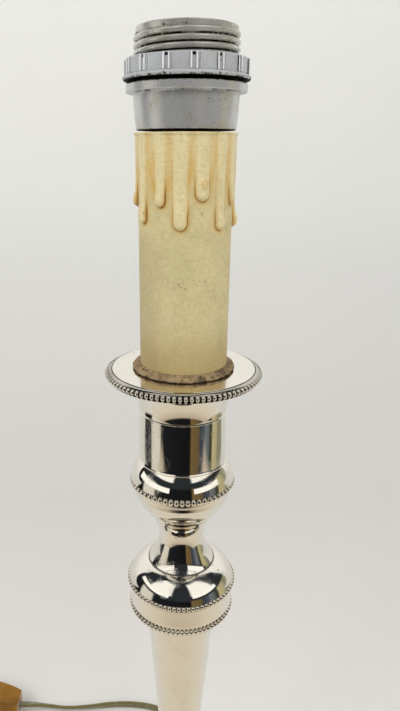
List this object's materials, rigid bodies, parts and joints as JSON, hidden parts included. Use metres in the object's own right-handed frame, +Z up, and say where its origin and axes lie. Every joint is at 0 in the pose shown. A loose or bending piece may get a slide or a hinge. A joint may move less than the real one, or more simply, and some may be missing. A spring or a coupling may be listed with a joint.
{
  "type": "candlestick lamp",
  "caption": "Tapering silver-plated candlestick with beaded rows, wired as a table lamp, with a wax-drip candle sleeve, lampholder, inline switch and plug.",
  "frame": {"origin": "centre of the felt under the foot, on the surface that the lamp stands on", "axes": "+Z up the stick through the lampholder, -Y towards the viewer of the picture, +X to the right"},
  "size_m": [0.2874, 0.177, 0.4431],
  "materials": {
    "silver_plate": "polished",
    "aged_card": "matte",
    "wax": "satin",
    "grey_enamel": "satin",
    "porcelain": "glazed",
    "brass": "satin",
    "steel": "zinc plated",
    "felt": "felt",
    "card_plate": "matte",
    "plaster": "matte",
    "rubber": "matte",
    "gold_flex": "see-through gold",
    "amber_plastic": "see-through amber",
    "rocker_plastic": "gloss",
    "plug_plastic": "gloss",
    "nickel": "plated"
  },
  "bodies": {
    "lamp": {"candle_sleeve": "wax", "candle_washer": "aged_card", "capital_beading": "silver_plate", "contact_block": "brass", "cord_coil": "gold_flex", "cord_grommet": "rubber", "cord_to_coil": "gold_flex", "cord_to_plug": "gold_flex", "cord_to_switch": "gold_flex", "drip_pan": "silver_plate", "felt_pad": "felt", "foot": "silver_plate", "foot_beading": "silver_plate", "foot_loading": "plaster", "foot_plate": "card_plate", "holder_cap": "grey_enamel", "holder_insert": "porcelain", "holder_shell": "grey_enamel", "inner_flex": "gold_flex", "knop_lower_beading": "silver_plate", "knop_upper_beading": "silver_plate", "pan_beading": "silver_plate", "plug_body": "plug_plastic", "plug_pins": "nickel", "rod_nuts": "brass", "rod_washers": "steel", "screw_shell": "brass", "stem": "silver_plate", "switch_base": "amber_plastic", "switch_contacts": "brass", "switch_cover": "amber_plastic", "switch_screws": "steel", "terminal_cores": "brass", "terminal_screws": "brass", "threaded_rod": "steel"},
    "shade_ring": {"shade_ring": "grey_enamel"},
    "switch_rocker": {"switch_rocker": "rocker_plastic"},
    "contact_tongue": {"contact_tongue": "brass"}
  },
  "joints": [
    {"name": "shade_ring_turn", "type": "hinge", "parent": "lamp", "child": "shade_ring", "pos_m": [0, 0, 0.4287], "axis": [0, 0, 1], "range_deg": [-173, 1440]},
    {"name": "switch_rock", "type": "hinge", "parent": "lamp", "child": "switch_rocker", "pos_m": [-0.148, 0.0945, 0.0134], "axis": [0, 1, 0], "range_deg": [0, 16]},
    {"name": "contact_press", "type": "hinge", "parent": "lamp", "child": "contact_tongue", "pos_m": [-0.0036, 0, 0.4214], "axis": [0, 1, 0], "range_deg": [0, 7], "stiffness_Nm_per_rad": 0.3}
  ]
}
